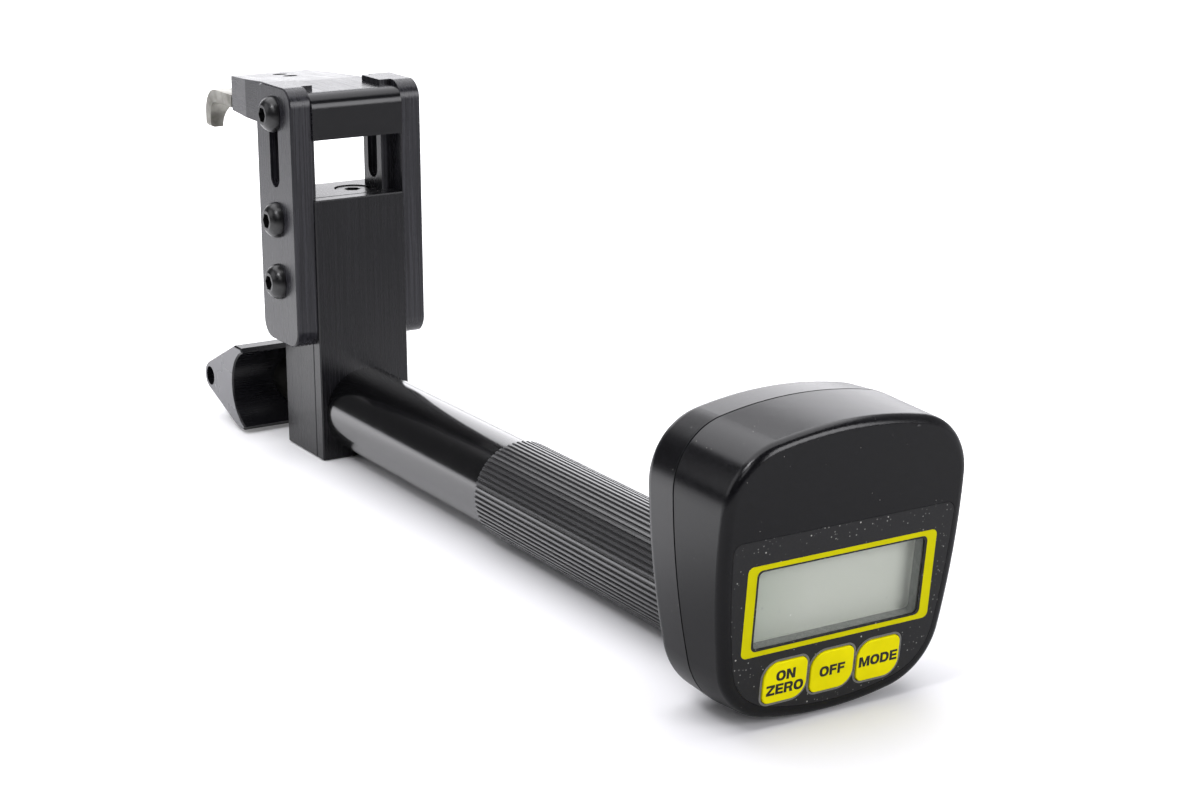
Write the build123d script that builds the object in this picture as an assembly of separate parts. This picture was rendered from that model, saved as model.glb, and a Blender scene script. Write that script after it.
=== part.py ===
from build123d import *
import os
from math import acos, atan2, cos, hypot, pi, radians, sin, tan

# Valve spring tester, lever type with a digital readout. Millimetres, +Z up, +X from head to display.
# While it is modelled, x = 0 is the block's front face and z = 0 is the tube axis.

# Stance
axis_height = 15.5          # tube axis above the floor that block and housing lie on

# Head block
block_width = 32.0
block_depth = 28.0          # with the front cover
block_top = 72.0            # above the tube axis
cover_thickness = 5.0
edge_break = 0.4            # small chamfer on machined edges

# Cheek plates and their guide keys
plate_thickness = 7.2
plate_width = 27.0
plate_setback = 1.0         # behind the block's front face
plate_bottom = 23.0
plate_top = 108.2
plate_corner = 6.0
guide_width = 13.0
guide_depth = 4.0
guide_bottom = 30.0
guide_clearance = 0.1
slot_width = 6.8
slot_bottom = 75.0
slot_top = 103.2

# Socket screws of the head
screw_radius = 3.0
screw_head_radius = 5.9
screw_head_height = 3.8
screw_socket = 4.5          # across flats
screw_reach = 8.0           # thread length in block or crosshead
thread_clearance = 0.05
plate_screw_heights = (43.6, 64.2)

# Crosshead and its arm
crosshead_bottom = 91.5
crosshead_top = 106.4
crosshead_round = 5.0
crosshead_clearance = 0.1
clamp_seat_gap = 0.05       # between clamp screw heads and cheek plates
arm_end = 70.5              # behind the block's front face
arm_knee = 53.5             # where the arm starts to narrow
arm_end_width = 28.4
arm_slope_start = 30.0
arm_end_top = 104.0
arm_end_bottom = 92.4

# Claw
claw_bottom = 93.0
claw_thickness = 4.3
claw_width = 28.0
claw_tongue_width = 20.0
claw_tongue_end = 46.0
claw_rear = 94.0
claw_tip = 83.5
claw_bend = 4.6             # inner radius
claw_notch_radius = 9.4
claw_notch_depth = 10.0
claw_corner = 1.5
claw_seat_clearance = 0.05
claw_screw_places = (51.8, 60.4)
claw_screw_radius = 2.45
claw_screw_head_radius = 4.1
claw_screw_end_gap = 2.6    # from the screw's end up to the arm's top

# Block plug
plug_across = 4.5           # to the right of the middle
plug_behind = 15.0
plug_radius = 6.0
plug_recess = 0.35
plug_height = 3.2
plug_socket = 5.0

# Foot
foot_width = 51.0
foot_nose = 72.5            # centre of the nose behind the block's front face
foot_nose_drop = 1.3        # and below the push rod's axis
foot_nose_radius = 5.0
foot_hole_radius = 3.35
foot_half_height = 14.5
foot_shoulder = 50.0
foot_face = 43.3
foot_hollow = 52.8          # bottom of the concave face
foot_lip = 1.4              # chamfer along the upper and lower edge of the face
foot_edge = 0.5
fork_gap = 24.0
fork_gap_bottom = 60.0
fork_gap_corner = 3.0

# Push rod, bush and ring
stem_radius = 10.0
stem_seat = 55.0
stem_seat_clearance = 0.03
stem_shoulder_gap = 0.4
neck_radius = 6.95
neck_end = 14.0
bush_bore = 7.0
bush_radius = 9.0
cell_cavity_depth = 11.0
ring_thickness = 1.0
ring_gap = 0.08
ring_groove_depth = 0.65
ring_radius = 9.5
stem_screw_head_radius = 5.6
stem_screw_length = 18.0

# Load cell
cell_radius = 12.5
cell_thickness = 7.5
cell_button_radius = 4.0
cell_button_height = 1.4
cavity_clearance = 0.1

# Cover screws
cover_screw_radius = 2.0
cover_screw_head_radius = 3.9
cover_screw_spread = 18.0
cover_screw_heights = (24.0, 54.0)
cover_screw_reach = 3.5

# Tube, plugs and grip
tube_radius = 14.3
tube_wall = 2.5
plug_length = 20.0
plug_fit = 0.03
head_boss_radius = 10.0
lead_hole_radius = 1.75
grip_start = 103.0
grip_radius = 15.2
grip_seat_radius = 13.3
grip_fit = 0.05
grip_ribs = 60
grip_rib_depth = 0.6
grip_chamfer = 0.9
tail_boss_radius = 8.0
tail_boss_length = 10.0
nut_radius = 11.5
nut_thickness = 4.0
nut_slot = 4.0
nut_seat_radius = 12.1      # upright seats of nut and grip on the leaning back
tail_seat_radius = 15.8

# Display housing
housing_back = 233.0        # back plane at the tube axis
seam_depth = 13.5           # from there to the seam plane, at the height below
face_depth = 30.0           # to the face plane, at the same height
face_height = 17.0
seam_tilt = -3.5            # degrees, back and seam, top leaning towards the head
face_tilt = 7.0             # degrees, top leaning away from the head
housing_half = 36.9         # half width at the seam
housing_top = 62.9
housing_draft = 0.9         # narrower at the face than at the seam
housing_crown = 6.0
housing_widest = 37.0       # height of the widest place
housing_side_radius = 215.0
housing_bottom_crown = 5.5
housing_top_corner = 18.0
housing_bottom_corner = 18.0
housing_wall = 2.4
front_round = 2.5
back_round = 4.0
seam_gap = 0.4              # thin groove all round where the shells meet
seam_gap_depth = 0.8

# Face panel, window and display
panel_inset = 3.1
panel_top = 18.8            # above the window's middle, along the face
panel_thickness = 0.5
panel_corner = 2.5
panel_clearance = 0.1
window_width = 49.7
window_height = 20.7
window_corner = 1.5
lens_margin = 0.8
lens_clearance = 0.1
lens_thickness = 1.0
lcd_width = 55.0
lcd_height = 25.0
window_rim = 2.0            # height of the rim round the window inside the shell
window_rim_wall = 1.2
lcd_gap = 0.05              # between that rim and the display
lcd_thickness = 2.8

# Keys and their switches
key_width = 12.9
key_height = 10.8
key_pitch = 14.1
key_middle = -0.4
key_row = -20.5             # along the face, from the window's middle
key_big_corner = 4.4
key_small_corner = 2.0
key_proud = 0.5
key_edge = 0.3
key_clearance = 0.2
key_flange_margin = 0.45
key_flange_thickness = 0.9
key_flange_gap = 0.1
key_stem_radius = 2.0
key_travel = 0.5
key_rest_gap = 0.15         # left to the switch with the key pressed home
switch_size = 6.0
switch_height = 1.8
switch_button_radius = 1.6
switch_button_height = 0.25

# Circuit board
board_thickness = 1.6
board_width = 57.0
board_top = 21.0
board_tab_width = 39.0
board_tab_start = -14.0
board_wall_gap = 0.4
board_screw_radius = 1.2
board_screw_head_radius = 2.1
board_screw_head_height = 1.2
board_screw_reach = 3.6
board_post_radius = 2.3
board_post_spots = ((-25.5, 17.6), (25.5, 17.6), (0.0, -28.8))
connector_size = (9.0, 6.0, 4.0)

# Shell screws
shell_screw_radius = 1.45
shell_screw_head_radius = 2.6
shell_screw_head_height = 1.8
shell_screw_length = 20.0
shell_screw_sink = 3.0
shell_screw_clearance = 0.1
rear_boss_radius = 4.2
front_boss_radius = 3.0
shell_screw_places = ((20.0, 54.8), (24.6, -1.0))

# Battery, its compartment and door
battery_length = 46.2
battery_height = 26.2
battery_depth = 16.6
battery_round = 2.0
battery_middle = 35.3
battery_clearance = 0.25
terminal_height = 2.3
terminal_radii = (2.8, 4.1)
terminal_spacing = 12.7
clip_thickness = 4.0
clip_width = 12.0
clip_clearance = 0.05
tray_length = 55.2
tray_wall = 1.4
door_lip = 2.0
door_thickness = 1.3
door_corner = 3.0
door_clearance = 0.15
door_rim_wall = 1.2
scoop_radius = 7.0
scoop_depth = 0.9

# Signal lead
lead_radius = 1.6
lead_bend = 42.0
lead_clamp = 24.0           # straight length at each plug

# Sizes worked out from the above
floor = -axis_height
half_block = block_width / 2
plate_outside = half_block + plate_thickness
plate_middle = -plate_setback - plate_width / 2
crosshead_half = half_block - crosshead_clearance
guide_face = half_block - guide_depth
clamp_height = (crosshead_bottom + crosshead_top) / 2
bush_end = cover_thickness + cell_cavity_depth
tube_bore = tube_radius - tube_wall
claw_top = claw_bottom + claw_thickness
housing_inside = housing_back + housing_wall
seam_place = housing_back + seam_depth
face_place = housing_back + face_depth
lcd_front = housing_wall + window_rim + lcd_gap
board_front = lcd_front + lcd_thickness
board_back = board_front + board_thickness
tray_end = housing_inside + battery_depth + 2 * battery_clearance
tray_half = battery_height / 2 + battery_clearance
tilt = radians(face_tilt)
round_height = housing_top - housing_draft - front_round - face_height
front_reach = face_place + round_height * tan(tilt) - front_round / cos(tilt) + front_round
middle_x = (front_reach - claw_rear) / 2


def leaning_plane(place, degrees):
    # local x across, local y up the plane, local z out of it
    lean = radians(degrees)
    return Plane(origin=(place, 0, face_height), x_dir=(0, 1, 0), z_dir=(cos(lean), 0, -sin(lean)))


face_plane = leaning_plane(face_place, face_tilt)
seam_plane = leaning_plane(seam_place, seam_tilt)
back_plane = leaning_plane(housing_back + face_height * tan(radians(seam_tilt)), seam_tilt)

# Basic forms


def rod(radius, start, end, y=0, z=0):
    # round bar along x
    return Pos((start + end) / 2, y, z) * Rot(0, 90, 0) * Cylinder(radius, abs(end - start))


def cross_rod(radius, x, start, end, z):
    # round bar along y
    return Pos(x, (start + end) / 2, z) * Rot(90, 0, 0) * Cylinder(radius, abs(end - start))


def upright_rod(radius, x, y, start, end):
    # round bar along z
    return Pos(x, y, (start + end) / 2) * Cylinder(radius, abs(end - start))


def bar(x_span, y_span, z_span):
    # box between two corners
    spans = (x_span, y_span, z_span)
    sizes = [abs(b - a) for a, b in spans]
    middle = [(a + b) / 2 for a, b in spans]
    return Pos(*middle) * Box(*sizes)


def turned(*outline):
    # body of revolution about x from (x, radius) points
    return revolve(make_face(Polyline(*outline, close=True)), Axis.X)


def side_profile(*outline):
    # face in the x-z plane from (x, z) points
    return make_face(Polyline(*[(x, 0, z) for x, z in outline], close=True))


def across(profile, half):
    # profile of the x-z plane extruded to both sides
    return extrude(profile, half, dir=(0, 1, 0), both=True)


def nearest_vertex(shape, x, z):
    # corner of a side profile
    return shape.vertices().sort_by_distance((x, 0, z))[0]


def assembled(pieces):
    # several solids of one node
    return Compound(children=list(pieces))


def hexagon_socket(across_flats, bottom):
    # cutter for a socket, from its bottom upwards
    return Pos(0, 0, bottom) * extrude(RegularPolygon(across_flats / 2, 6, major_radius=False), 5)


def socket_screw(radius, length, head_radius, head_height, socket):
    # button head on top of z = 0, shank below
    low = (head_radius, 0.1 * head_height)
    high = (0.72 * socket, head_height)
    dome = ThreePointArc(low, (0.86 * head_radius, 0.62 * head_height), high)
    sides = Polyline(high, (0, head_height), (0, 0), (head_radius, 0), low)
    head = revolve(Plane.XZ * make_face(dome + sides), Axis.Z)
    shank = Pos(0, 0, -length / 2) * Cylinder(radius, length)
    return head + shank - hexagon_socket(socket, 0.4 * head_height)


def flat_screw(radius, length, head_radius, socket):
    # countersunk head flush with z = 0, shank below
    head = head_radius - radius
    cone = Pos(0, 0, -head / 2) * Cone(radius, head_radius, head)
    shank = Pos(0, 0, -length / 2) * Cylinder(radius, length)
    return cone + shank - hexagon_socket(socket, -head)


def flat_screw_hole(radius, length, head_radius, clearance):
    # hole that the countersunk screw above fills
    head = head_radius - radius
    cone = Pos(0, 0, -head / 2) * Cone(radius + clearance, head_radius + clearance, head)
    mouth = Pos(0, 0, 0.5) * Cylinder(head_radius + clearance, 1)
    return cone + mouth + Pos(0, 0, -length / 2) * Cylinder(radius + clearance, length)


# Head: block, cover, plug


def block_body(front, rear):
    body = bar((-rear, -front), (-half_block, half_block), (floor, block_top))
    return chamfer(body.edges(), edge_break)


def at_cover_screws(piece):
    # the same piece at each cover screw, its head at the block's rear face
    spots = [(side * cover_screw_spread / 2, z) for z in cover_screw_heights for side in (-1, 1)]
    return [Pos(-block_depth, y, z) * Rot(0, -90, 0) * piece for y, z in spots]


cover_screw_length = block_depth - cover_thickness + cover_screw_reach


def cover_screw_holes():
    hole = flat_screw_hole(cover_screw_radius, cover_screw_length, cover_screw_head_radius, thread_clearance)
    return at_cover_screws(hole)


def load_block():
    block = block_body(cover_thickness, block_depth)
    block -= rod(cell_radius + cavity_clearance, -bush_end, -cover_thickness)
    block -= rod(bush_radius + thread_clearance, -block_depth, -bush_end)
    guide = guide_width / 2 + guide_clearance
    groove = (plate_middle - guide, plate_middle + guide)
    for side in (-1, 1):
        depth = (side * (guide_face - guide_clearance), side * half_block)
        block -= bar(groove, depth, (guide_bottom - guide_clearance, block_top))
        for z in plate_screw_heights:
            end = side * (guide_face - screw_reach)
            block -= cross_rod(screw_radius + thread_clearance, plate_middle, end, side * half_block, z)
    for hole in cover_screw_holes():
        block -= hole
    depth = plug_recess + plug_height
    block -= upright_rod(plug_radius + thread_clearance, -plug_behind, plug_across, block_top - depth, block_top)
    return block


def front_cover():
    cover = block_body(0, cover_thickness)
    cover -= rod(head_boss_radius + thread_clearance, -cover_thickness, 0)
    for hole in cover_screw_holes():
        cover -= hole
    return cover


def cover_screws():
    screw = flat_screw(cover_screw_radius, cover_screw_length, cover_screw_head_radius, 2.5)
    return assembled(at_cover_screws(screw))


def block_plug():
    plug = Cylinder(plug_radius, plug_height)
    plug = chamfer(plug.edges().sort_by(Axis.Z)[-1], 0.6)
    plug -= hexagon_socket(plug_socket, -0.2 * plug_height)
    return Pos(-plug_behind, plug_across, block_top - plug_recess - plug_height / 2) * plug


# Head: cheek plates and their screws


def side_plate(side):
    front = plate_middle + plate_width / 2
    rear = plate_middle - plate_width / 2
    shape = side_profile((rear, plate_bottom), (front, plate_bottom), (front, plate_top), (rear, plate_top))
    shape = fillet(shape.vertices(), plate_corner)
    plate = Pos(0, half_block, 0) * extrude(shape, plate_thickness, dir=(0, 1, 0))
    plate = chamfer(plate.faces().sort_by(Axis.Y)[-1].edges(), edge_break)
    guide = guide_width / 2
    plate += bar((plate_middle - guide, plate_middle + guide), (guide_face, half_block + 1), (guide_bottom, plate_top))
    radius = slot_width / 2
    ends = (slot_bottom + radius, slot_top - radius)
    plate -= bar((plate_middle - radius, plate_middle + radius), (guide_face, plate_outside), ends)
    for z in ends:
        plate -= cross_rod(radius, plate_middle, guide_face, plate_outside, z)
    for z in plate_screw_heights:
        plate -= cross_rod(screw_radius + thread_clearance, plate_middle, guide_face, plate_outside, z)
    return plate if side > 0 else mirror(plate, Plane.XZ)


def head_screws(heights, seat_gap):
    # one screw on each flank at each height
    seat = plate_outside + seat_gap
    length = seat - guide_face + screw_reach - 0.5
    screw = socket_screw(screw_radius, length, screw_head_radius, screw_head_height, screw_socket)
    pieces = []
    for z in heights:
        pieces.append(Pos(plate_middle, -seat, z) * Rot(90, 0, 0) * screw)
        pieces.append(Pos(plate_middle, seat, z) * Rot(-90, 0, 0) * screw)
    return assembled(pieces)


# Head: crosshead, claw and claw screws


def arm_top_at(behind):
    # height of the arm's sloping top this far behind the block's front face
    share = (behind - arm_slope_start) / (arm_end - arm_slope_start)
    return crosshead_top + share * (arm_end_top - crosshead_top)


def crosshead():
    side = side_profile(
        (0, crosshead_bottom),
        (0, crosshead_top),
        (-arm_slope_start, crosshead_top),
        (-arm_end, arm_end_top),
        (-arm_end, arm_end_bottom),
        (-block_depth, crosshead_bottom),
    )
    side = fillet(nearest_vertex(side, 0, crosshead_top), crosshead_round)
    side = fillet(nearest_vertex(side, -arm_end, arm_end_top), 1.2)
    body = across(side, crosshead_half)
    end = arm_end_width / 2
    half_plan = ((0, crosshead_half), (-arm_knee, crosshead_half), (-arm_end, end))
    plan = make_face(Polyline(*half_plan, *[(x, -y) for x, y in reversed(half_plan)], close=True))
    plan = fillet(plan.vertices().sort_by(Axis.X)[:2], 2.0)
    body &= Pos(0, 0, crosshead_bottom - 1) * extrude(plan, crosshead_top - crosshead_bottom + 2)
    guide = guide_width / 2 + guide_clearance
    groove = (plate_middle - guide, plate_middle + guide)
    for flank in (-1, 1):
        depth = (flank * (guide_face - guide_clearance), flank * half_block)
        body -= bar(groove, depth, (crosshead_bottom, crosshead_top))
        deepest = flank * (guide_face - screw_reach)
        body -= cross_rod(screw_radius + thread_clearance, plate_middle, deepest, flank * half_block, clamp_height)
    tongue = claw_tongue_width / 2 + claw_seat_clearance
    seat_end = claw_tongue_end - claw_seat_clearance
    body -= bar((-arm_end, -seat_end), (-tongue, tongue), (crosshead_bottom, claw_top + claw_seat_clearance))
    for behind in claw_screw_places:
        body -= upright_rod(claw_screw_radius + thread_clearance, -behind, 0, claw_top, crosshead_top)
    return body


def claw_screw_frame(behind):
    # head flush with the underside of the claw, shank upwards
    return Pos(-behind, 0, claw_bottom) * Rot(180, 0, 0)


def claw():
    inside = claw_rear - claw_thickness
    shape = side_profile(
        (-claw_tongue_end, claw_bottom),
        (-claw_tongue_end, claw_top),
        (-claw_rear, claw_top),
        (-claw_rear, claw_tip),
        (-inside, claw_tip),
        (-inside, claw_bottom),
    )
    shape = fillet(nearest_vertex(shape, -claw_rear, claw_top), claw_bend + claw_thickness)
    shape = fillet(nearest_vertex(shape, -inside, claw_bottom), claw_bend)
    hook = across(shape, claw_width / 2)
    shoulder = arm_end + claw_seat_clearance
    for flank in (-1, 1):
        hook -= bar((-shoulder, 0), (flank * claw_tongue_width / 2, flank * claw_width), (claw_tip, claw_top))
    hook -= rod(claw_notch_radius, -claw_rear, -claw_rear + claw_notch_depth, 0, claw_tip)
    toes = hook.edges().filter_by(Axis.X).group_by(Axis.Z)[0].sort_by(Axis.Y)
    hook = fillet([toes[0], toes[-1]], claw_corner)
    hole = flat_screw_hole(claw_screw_radius, claw_thickness + 1, claw_screw_head_radius, thread_clearance)
    for behind in claw_screw_places:
        hook -= claw_screw_frame(behind) * hole
    return hook


def claw_screws():
    screws = []
    for behind in claw_screw_places:
        length = arm_top_at(behind) - claw_screw_end_gap - claw_bottom
        screws.append(claw_screw_frame(behind) * flat_screw(claw_screw_radius, length, claw_screw_head_radius, 3.0))
    return assembled(screws)


# Foot and push rod


def foot_flank(side):
    # points of the upper or lower flank, from where its slope touches the nose to the hollow of the face
    run = foot_nose - foot_shoulder
    rise = foot_half_height + side * foot_nose_drop
    turn = atan2(rise, run) + acos(foot_nose_radius / hypot(run, rise))
    touch = (-foot_nose + foot_nose_radius * cos(turn), -foot_nose_drop + side * foot_nose_radius * sin(turn))
    outer = side * foot_half_height
    lip = [(-foot_face - foot_lip, outer), (-foot_face, side * (foot_half_height - foot_lip))]
    return [touch, (-foot_shoulder, outer), *lip]


def foot():
    upper = foot_flank(1)
    lower = foot_flank(-1)[::-1]
    hollow = ThreePointArc(upper[-1], (-foot_hollow, 0), lower[0])
    nose = ThreePointArc(lower[-1], (-foot_nose - foot_nose_radius, -foot_nose_drop), upper[0])
    profile = Plane.XZ * make_face(Polyline(*upper) + hollow + Polyline(*lower) + nose)
    body = across(profile, foot_width / 2)
    sides = body.faces().sort_by(Axis.Y)
    body = chamfer(sides[0].edges() + sides[-1].edges(), foot_edge)
    end = -foot_nose - 2 * foot_nose_radius
    corners = [(end, -fork_gap / 2), (end, fork_gap / 2)]
    inner = [(-fork_gap_bottom, fork_gap / 2), (-fork_gap_bottom, -fork_gap / 2)]
    gap = make_face(Polyline(*corners, *inner, close=True))
    gap = fillet(gap.vertices().sort_by(Axis.X)[-2:], fork_gap_corner)
    body -= Pos(0, 0, -foot_half_height) * extrude(gap, 2 * foot_half_height)
    body -= cross_rod(foot_hole_radius, -foot_nose, -foot_width / 2, foot_width / 2, -foot_nose_drop)
    body -= rod(stem_radius + stem_seat_clearance, -stem_seat, -foot_face)
    hole = flat_screw_hole(screw_radius, stem_screw_length, stem_screw_head_radius, thread_clearance)
    return body - Pos(-fork_gap_bottom, 0, 0) * Rot(0, -90, 0) * hole


def ring_span():
    start = -bush_end + ring_gap
    return start, start + ring_thickness


def foot_stem():
    shoulder = -block_depth - stem_shoulder_gap
    break_size = 0.6
    groove_start, groove_end = ring_span()
    groove = neck_radius - ring_groove_depth
    stem = turned(
        (-stem_seat, 0),
        (-stem_seat, stem_radius - break_size),
        (-stem_seat + break_size, stem_radius),
        (shoulder - break_size, stem_radius),
        (shoulder, stem_radius - break_size),
        (shoulder, neck_radius),
        (groove_start - 0.02, neck_radius),
        (groove_start - 0.02, groove),
        (groove_end + 0.02, groove),
        (groove_end + 0.02, neck_radius),
        (-neck_end - 0.3, neck_radius),
        (-neck_end, neck_radius - 0.3),
        (-neck_end, 0),
    )
    deepest = -fork_gap_bottom + stem_screw_length + 1
    return stem - rod(screw_radius + thread_clearance, -stem_seat, deepest)


def stem_bush():
    return rod(bush_radius, -block_depth, -bush_end) - rod(bush_bore, -block_depth, -bush_end)


def stem_ring():
    start, end = ring_span()
    inner = neck_radius - ring_groove_depth + 0.02
    ring = rod(ring_radius, start, end) - rod(inner, start, end)
    return ring - bar((start, end), (-1.6, 1.6), (0, ring_radius + 1))


def stem_screw():
    screw = flat_screw(screw_radius, stem_screw_length, stem_screw_head_radius, 4.0)
    return Pos(-fork_gap_bottom, 0, 0) * Rot(0, -90, 0) * screw


def load_cell():
    back = -cover_thickness - cell_thickness
    return turned(
        (-cover_thickness, 0),
        (-cover_thickness, cell_radius - 0.5),
        (-cover_thickness - 0.5, cell_radius),
        (back + 0.5, cell_radius),
        (back, cell_radius - 0.5),
        (back, cell_button_radius + 2.5),
        (back + 0.5, cell_button_radius + 1.5),
        (back + 0.5, cell_button_radius),
        (back - cell_button_height + 0.4, cell_button_radius),
        (back - cell_button_height, cell_button_radius - 0.8),
        (back - cell_button_height, 0),
    )


# Tube, plugs, nut and grip


def handle_tube():
    seat = grip_seat_radius
    return turned(
        (0, tube_bore),
        (0, tube_radius),
        (grip_start, tube_radius),
        (grip_start, seat),
        (housing_back, seat),
        (housing_back, tube_bore),
    )


def head_plug():
    body = tube_bore - plug_fit
    return turned(
        (-cover_thickness, lead_hole_radius),
        (-cover_thickness, head_boss_radius),
        (0, head_boss_radius),
        (0, body),
        (plug_length - 1, body),
        (plug_length, body - 1),
        (plug_length, lead_hole_radius),
    )


def tail_plug():
    body = tube_bore - plug_fit
    start = housing_back - plug_length
    end = housing_back + tail_boss_length
    return turned(
        (start, lead_hole_radius),
        (start, body - 1),
        (start + 1, body),
        (housing_back, body),
        (housing_back, tail_boss_radius),
        (end - 0.8, tail_boss_radius),
        (end, tail_boss_radius - 0.8),
        (end, lead_hole_radius),
    )


def tail_nut():
    start = housing_inside
    end = start + nut_thickness
    nut = turned(
        (start, tail_boss_radius + plug_fit),
        (start, nut_radius),
        (end - 0.6, nut_radius),
        (end, nut_radius - 0.6),
        (end, tail_boss_radius + plug_fit),
    )
    for angle in (0, 90):
        slot = bar((start + nut_thickness / 2, end), (-nut_slot / 2, nut_slot / 2), (-nut_radius, nut_radius))
        nut -= Rot(angle, 0, 0) * slot
    return nut


def grip():
    # lengthwise ribs with sloping flanks, chamfered at both ends
    low = grip_radius - grip_rib_depth
    pitch = 2 * pi / grip_ribs
    points = []
    for rib in range(grip_ribs):
        for share, radius in ((-0.34, low), (-0.2, grip_radius), (0.2, grip_radius), (0.34, low)):
            angle = (rib + share) * pitch
            points.append((radius * cos(angle), radius * sin(angle)))
    star = Plane.YZ * make_face(Polyline(*points, close=True))
    sleeve = Pos(grip_start, 0, 0) * extrude(star, housing_back - grip_start, dir=(1, 0, 0))
    envelope = turned(
        (grip_start, grip_seat_radius + grip_fit),
        (grip_start, grip_radius - grip_chamfer),
        (grip_start + grip_chamfer, grip_radius + 0.01),
        (housing_back - grip_chamfer, grip_radius + 0.01),
        (housing_back, grip_radius - grip_chamfer),
        (housing_back, grip_seat_radius + grip_fit),
    )
    return sleeve & envelope


# Display housing


def side_half(height, half):
    # half width of the slightly bowed flank at this height
    return half - (height - housing_widest) ** 2 / (2 * housing_side_radius)


def outline(inset, narrower, degrees):
    # housing outline as a face of the leaning plane
    half = housing_half - narrower - inset
    top = housing_top - narrower - inset
    bottom = floor + 0.5 * narrower + inset
    high = top - housing_crown
    low = bottom + housing_bottom_crown
    scale = cos(radians(degrees))

    def point(y, z):
        return (y, (z - face_height) / scale)

    upper = point(side_half(high, half), high)
    lower = point(side_half(low, half), low)
    widest = point(half, housing_widest)

    def left(spot):
        return (-spot[0], spot[1])

    shape = make_face(
        ThreePointArc(left(upper), point(0, top), upper)
        + ThreePointArc(upper, widest, lower)
        + ThreePointArc(lower, point(0, bottom), left(lower))
        + ThreePointArc(left(lower), left(widest), left(upper))
    )
    ranked = shape.vertices().sort_by(Axis.Y)
    shape = fillet(ranked[-2:], housing_top_corner - inset)
    ranked = shape.vertices().sort_by(Axis.Y)
    return fillet(ranked[:2], housing_bottom_corner - inset)


def rear_form(inset):
    # rear half as a solid, or its hollow with an inset
    back = back_plane.offset(inset) * outline(inset, 0.8 * housing_draft, seam_tilt)
    seam = seam_plane * outline(inset, 0, seam_tilt)
    return loft([back, seam], ruled=True)


def front_form(inset):
    # front half as a solid, or its hollow with an inset
    seam = seam_plane * outline(inset, 0, seam_tilt)
    face = face_plane.offset(-inset) * outline(inset, housing_draft, face_tilt)
    return loft([seam, face], ruled=True)


def seam_groove():
    # cutter for the groove, half of it in each shell
    ring = outline(-0.5, 0, seam_tilt) - outline(seam_gap_depth, 0, seam_tilt)
    return extrude(seam_plane * ring, seam_gap / 2, both=True)


def rear_body():
    body = rear_form(0)
    return fillet(body.faces().sort_by(Axis.X)[0].edges(), back_round) - seam_groove()


def front_body():
    body = front_form(0)
    return fillet(body.faces().sort_by(Axis.X)[-1].edges(), front_round) - seam_groove()


def on_back(shape):
    # compartment drawn on an upright back, leant with it
    return Pos(housing_back, 0, 0) * Rot(0, seam_tilt, 0) * Pos(-housing_back, 0, 0) * shape


def shell_screw_spots():
    return [(side * y, z) for y, z in shell_screw_places for side in (-1, 1)]


def door_outline(margin):
    # rounded rectangle of the battery opening, in the y-z plane
    width = tray_length + 2 * margin
    height = 2 * tray_half + 2 * margin
    corner = max(door_corner + margin - door_lip, 0.6)
    return Pos(housing_back, 0, battery_middle) * (Plane.YZ * RectangleRounded(width, height, corner))


def finger_scoop():
    # hollow for a fingertip under the door's lower edge
    low = battery_middle - tray_half - door_lip
    drop = scoop_radius - scoop_depth
    return Pos(housing_back - drop, 0, low) * Sphere(scoop_radius)


def rear_shell():
    body = rear_body()
    shell = body - rear_form(housing_wall)
    seam_reach = seam_place + 5
    outside = housing_back - 5
    for y, z in shell_screw_spots():
        shell += rod(rear_boss_radius, outside, seam_reach, y, z) & body
    shell += rod(nut_seat_radius, housing_back, housing_inside)
    shell -= rod(nut_seat_radius, housing_inside, housing_inside + 3)
    shell -= rod(tail_seat_radius, outside, housing_back)
    wall = tray_half + tray_wall
    tray_outer = (-tray_length / 2 - tray_wall, tray_length / 2 + tray_wall)
    low, high = battery_middle - wall, battery_middle + wall
    shell += on_back(bar((housing_inside - 0.5, tray_end + tray_wall), tray_outer, (low, high)))
    hollow = (-tray_length / 2, tray_length / 2)
    tray = bar((housing_inside, tray_end), hollow, (battery_middle - tray_half, battery_middle + tray_half))
    tray += extrude(door_outline(door_lip), door_thickness, dir=(1, 0, 0))
    tray += extrude(door_outline(0), housing_wall + 0.1, dir=(1, 0, 0))
    shell -= on_back(tray + finger_scoop())
    shell -= rod(tail_boss_radius + thread_clearance, outside, housing_inside + 3)
    for y, z in shell_screw_spots():
        shell -= rod(shell_screw_head_radius + shell_screw_clearance, outside, housing_back + shell_screw_sink, y, z)
        shell -= rod(shell_screw_radius + shell_screw_clearance, outside, seam_reach, y, z)
    return shell


def on_face(shape, depth):
    # something drawn on the face plane, moved this far into the housing
    return face_plane.offset(-depth) * shape


def into_housing(shape, start, end):
    # drawing on the face extruded between two depths below the face
    return extrude(on_face(shape, end), end - start, dir=tuple(face_plane.z_dir))


def panel_outline(grow):
    whole = outline(panel_inset - grow, housing_draft, face_tilt)
    top = panel_top + grow
    cut = Pos(0, top + housing_top / 2, 0) * Rectangle(2 * housing_half, housing_top)
    shape = whole - cut
    corners = shape.vertices().group_by(Axis.Y)[-1]
    return fillet(corners, panel_corner)


def window_outline(grow):
    return RectangleRounded(window_width + 2 * grow, window_height + 2 * grow, window_corner)


def key_spots():
    return [key_middle + step * key_pitch for step in (-1, 0, 1)]


def key_outline(spot, grow):
    # two opposite corners are rounder than the other two
    half_width = key_width / 2 + grow
    half_height = key_height / 2 + grow
    shape = Rectangle(2 * half_width, 2 * half_height)
    big = [shape.vertices().sort_by_distance((-half_width, half_height, 0))[0]]
    big.append(shape.vertices().sort_by_distance((half_width, -half_height, 0))[0])
    shape = fillet(big, key_big_corner)
    small = [shape.vertices().sort_by_distance((half_width, half_height, 0))[0]]
    small.append(shape.vertices().sort_by_distance((-half_width, -half_height, 0))[0])
    shape = fillet(small, key_small_corner)
    return Pos(spot, key_row, 0) * shape


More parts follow.
